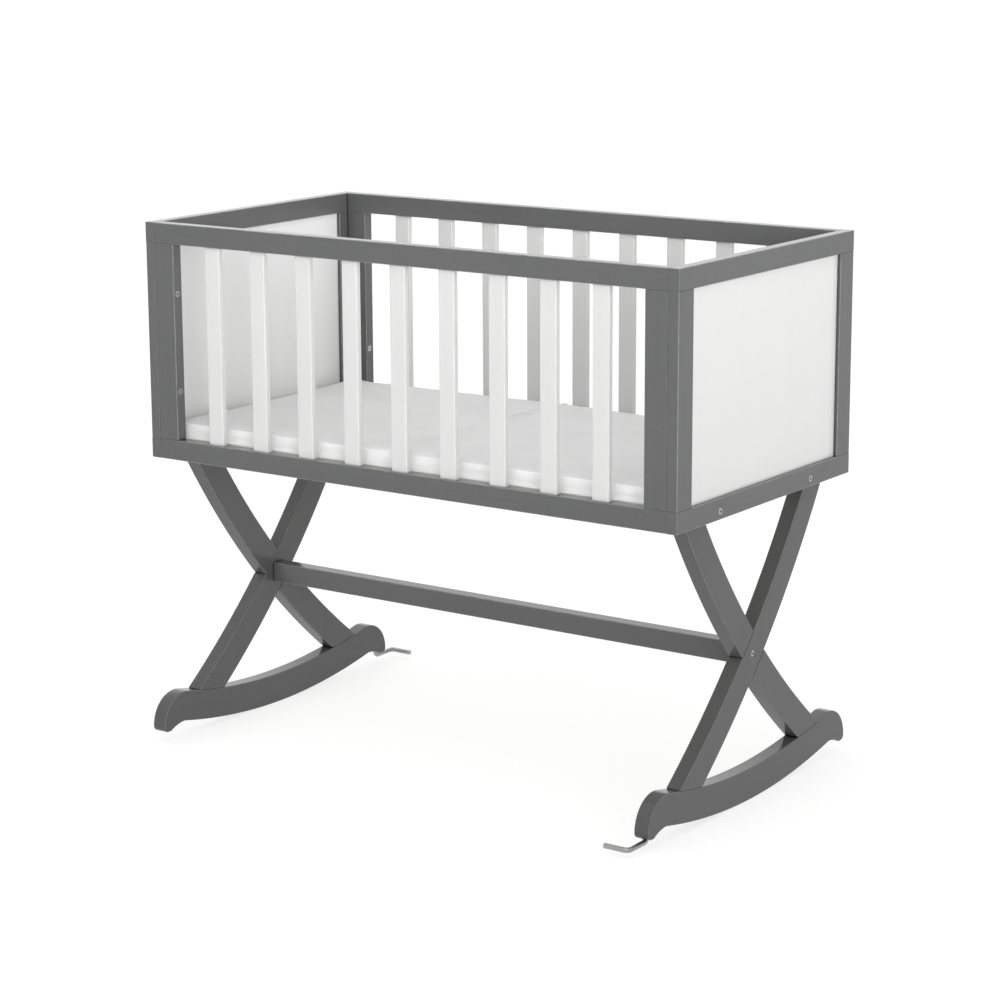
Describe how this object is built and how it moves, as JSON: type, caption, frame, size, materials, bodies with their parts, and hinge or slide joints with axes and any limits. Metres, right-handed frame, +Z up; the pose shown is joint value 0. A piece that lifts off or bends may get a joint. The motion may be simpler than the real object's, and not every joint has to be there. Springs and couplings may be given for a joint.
{
  "type": "baby cradle",
  "caption": "Open slatted cradle box with solid end panels and a thin mattress, on crossed legs joined by a stretcher and standing on curved rockers with turning stop rods.",
  "frame": {"origin": "on the floor, under the middle of the cradle", "axes": "+X along the cradle's length, +Y across it towards the rear side frame, +Z up"},
  "size_m": [0.97, 0.658, 0.831],
  "materials": {
    "grey_paint": "satin grey paint on wood",
    "white_panel": "satin white paint on board",
    "white_slat": "satin white paint on wood",
    "raw_wood": "planed, unpainted",
    "board": "pale faced board",
    "mattress_cover": "matte wipe-clean white cover",
    "bright_rod": "bright zinc-plated wire",
    "bush_steel": "plain steel",
    "bolt_steel": "zinc-plated",
    "insert_brass": "turned",
    "dowel_wood": "fluted beech"
  },
  "bodies": {
    "root": {"left_end_top_rail": "grey_paint", "left_end_bottom_rail": "grey_paint", "left_end_front_stile": "grey_paint", "left_end_rear_stile": "grey_paint", "left_end_panel": "white_panel", "right_end_top_rail": "grey_paint", "right_end_bottom_rail": "grey_paint", "right_end_front_stile": "grey_paint", "right_end_rear_stile": "grey_paint", "right_end_panel": "white_panel", "front_top_rail": "grey_paint", "front_bottom_rail": "grey_paint", "front_left_stile": "grey_paint", "front_right_stile": "grey_paint", "front_cleat": "raw_wood", "rear_top_rail": "grey_paint", "rear_bottom_rail": "grey_paint", "rear_left_stile": "grey_paint", "rear_right_stile": "grey_paint", "rear_cleat": "raw_wood", "front_slat_1": "white_slat", "front_slat_2": "white_slat", "front_slat_3": "white_slat", "front_slat_4": "white_slat", "front_slat_5": "white_slat", "front_slat_6": "white_slat", "front_slat_7": "white_slat", "front_slat_8": "white_slat", "front_slat_9": "white_slat", "rear_slat_1": "white_slat", "rear_slat_2": "white_slat", "rear_slat_3": "white_slat", "rear_slat_4": "white_slat", "rear_slat_5": "white_slat", "rear_slat_6": "white_slat", "rear_slat_7": "white_slat", "rear_slat_8": "white_slat", "rear_slat_9": "white_slat", "left_head_rail": "grey_paint", "left_front_leg": "grey_paint", "left_rear_leg": "grey_paint", "left_rocker": "grey_paint", "right_head_rail": "grey_paint", "right_front_leg": "grey_paint", "right_rear_leg": "grey_paint", "right_rocker": "grey_paint", "stretcher": "grey_paint", "mattress_board": "board", "stop_bushes": "bush_steel", "corner_bolts": "bolt_steel", "stand_bolts": "bolt_steel", "crossing_bolts": "bolt_steel", "insert_nuts": "insert_brass", "barrel_nuts": "bolt_steel", "frame_dowels": "dowel_wood", "leg_dowels": "dowel_wood", "cleat_screws": "bolt_steel"},
    "mattress_pad": {"mattress": "mattress_cover"},
    "front_stop_rod": {"right_front_stop": "bright_rod"},
    "rear_stop_rod": {"left_rear_stop": "bright_rod"}
  },
  "joints": [
    {"name": "mattress_lift", "type": "slide", "parent": "root", "child": "mattress_pad", "axis": [0, 0, 1], "range_m": [0, 0.4]},
    {"name": "front_stop_turn", "type": "hinge", "parent": "root", "child": "front_stop_rod", "pos_m": [0.4545, -0.277, 0.03], "axis": [0, 0, 1], "continuous": true},
    {"name": "rear_stop_turn", "type": "hinge", "parent": "root", "child": "rear_stop_rod", "pos_m": [-0.4545, 0.277, 0.03], "axis": [0, 0, 1], "continuous": true}
  ]
}
